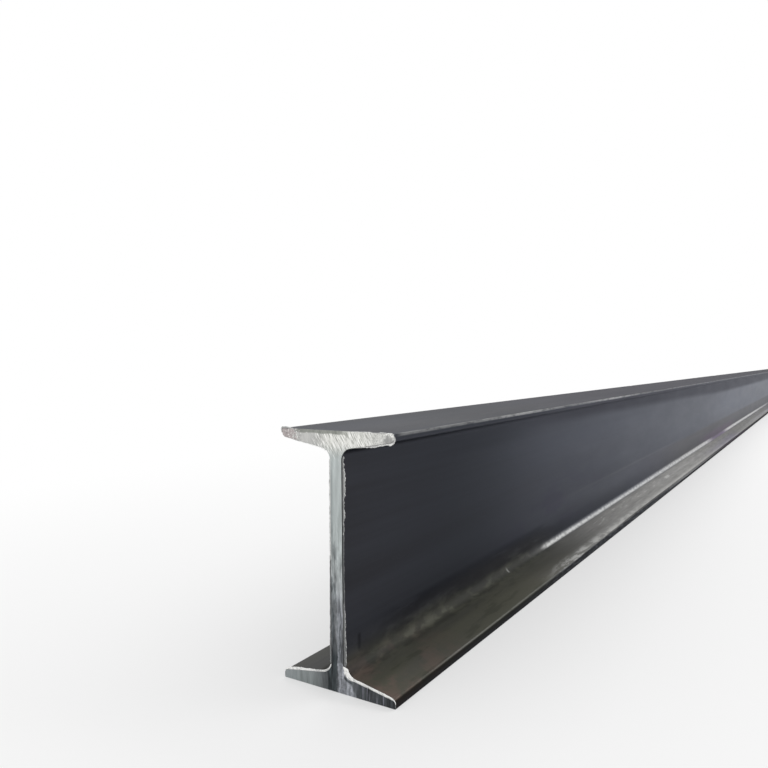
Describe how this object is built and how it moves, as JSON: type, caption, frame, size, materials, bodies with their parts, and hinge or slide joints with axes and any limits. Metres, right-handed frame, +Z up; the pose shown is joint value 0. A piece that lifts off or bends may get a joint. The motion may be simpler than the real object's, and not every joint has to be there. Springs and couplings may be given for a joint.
{
  "type": "i-beam",
  "caption": "Hot-rolled steel I-beam with tapered flanges, filleted web roots and square-sawn ends, standing on its bottom flange.",
  "frame": {"origin": "on the underside of the bottom flange, under the middle of the beam's length and width", "axes": "+X along the beam, +Y across the flanges, +Z up the web from the bottom flange to the top flange"},
  "size_m": [6, 0.106, 0.203],
  "materials": {
    "rolled_steel": "dark mill scale, bare at the sawn ends"
  },
  "bodies": {
    "root": {"i_beam": "rolled_steel"}
  },
  "joints": []
}
